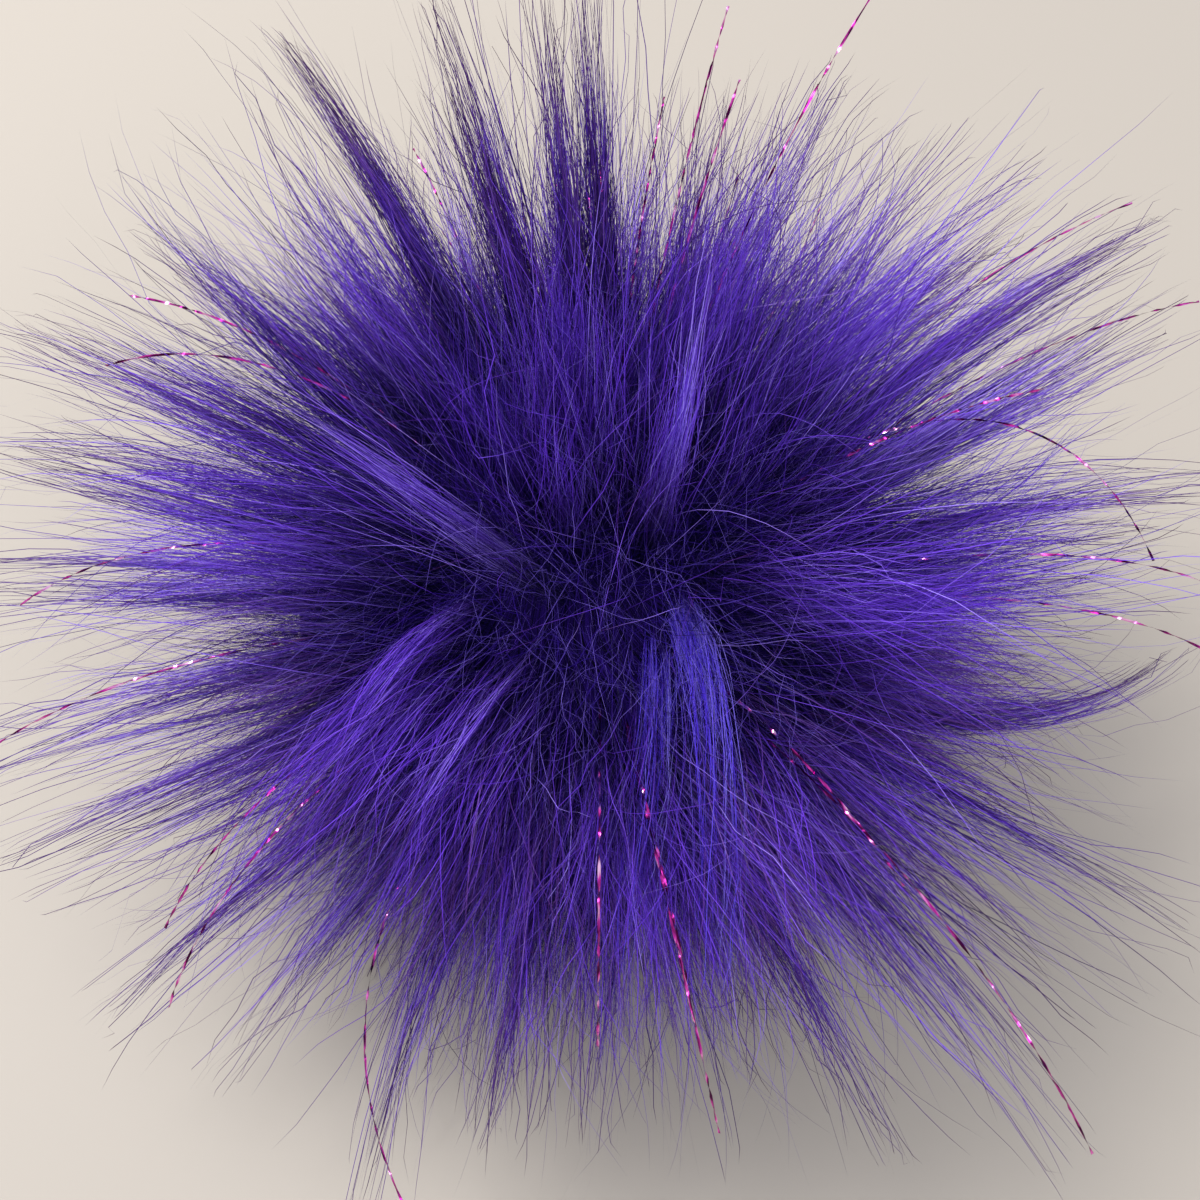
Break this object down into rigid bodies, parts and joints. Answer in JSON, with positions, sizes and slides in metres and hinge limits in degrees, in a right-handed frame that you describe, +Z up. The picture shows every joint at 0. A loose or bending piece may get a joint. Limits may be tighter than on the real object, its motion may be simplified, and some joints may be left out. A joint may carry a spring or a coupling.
{
  "type": "fur pom pom",
  "caption": "Long-pile faux-fur pom pom, its fur in loose pointed locks with scattered tinsel strands, for sewing or snapping to a hat, bag or scarf.",
  "frame": {"origin": "centre of the flat spot under the pom pom, on the surface it rests on", "axes": "+Z up; -Y faces the viewer; +X to the viewer's right"},
  "size_m": [0.2029, 0.1907, 0.1325],
  "materials": {
    "fur": "soft long-pile fibre with a low sheen, violet to blue-purple, darker at the roots",
    "tinsel": "thin metallised film, cut in narrow strips, magenta"
  },
  "bodies": {
    "root": {"fur_ball": "fur"}
  },
  "joints": []
}
